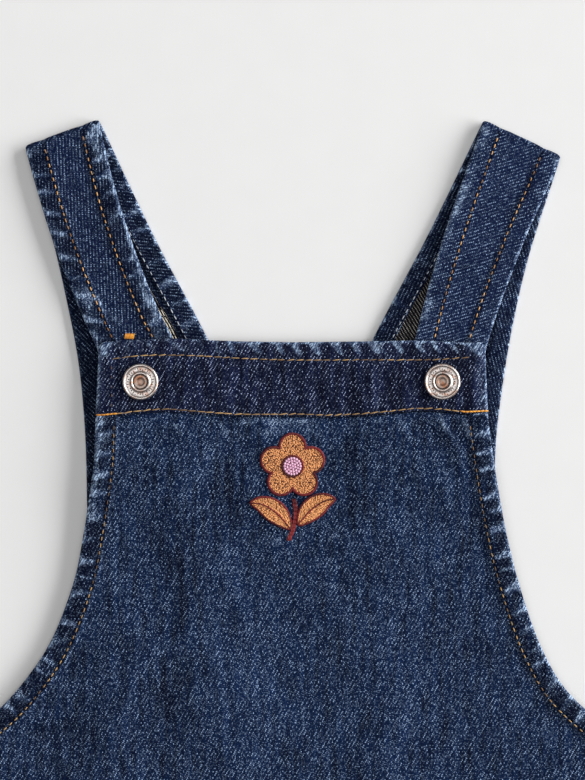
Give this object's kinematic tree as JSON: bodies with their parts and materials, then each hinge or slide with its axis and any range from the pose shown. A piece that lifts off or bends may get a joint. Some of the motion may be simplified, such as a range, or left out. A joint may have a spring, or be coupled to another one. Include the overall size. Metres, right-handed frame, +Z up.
{
  "type": "skirtall",
  "caption": "Small child's denim skirtall laid flat, front up: A-line front and back, straps folded at the shoulder, tack buttons and an embroidered flower.",
  "frame": {"origin": "middle of the garment's outline, on the surface that it lies on", "axes": "+Y from the hem towards the straps, +X towards the wearer's left, +Z up from the surface, out of the garment's front"},
  "size_m": [0.4, 0.4892, 0.0097],
  "materials": {
    "denim": "washed indigo twill, worn pale on its edges",
    "denim_band": "darker indigo twill",
    "button_metal": "tumbled nickel with a little copper showing",
    "nail_metal": "copper-washed steel",
    "embroidery": "tan rayon thread, satin stitch",
    "embroidery_dark": "red-brown rayon thread"
  },
  "bodies": {
    "root": {"back_with_straps": "denim", "front": "denim", "bib_band": "denim_band", "button_cap_left": "button_metal", "button_cap_right": "button_metal", "button_nail_left": "nail_metal", "button_nail_right": "nail_metal", "sprig_flower": "embroidery", "sprig_stem": "embroidery_dark", "sprig_leaf_left": "embroidery_dark", "sprig_leaf_right": "embroidery_dark"}
  },
  "joints": []
}
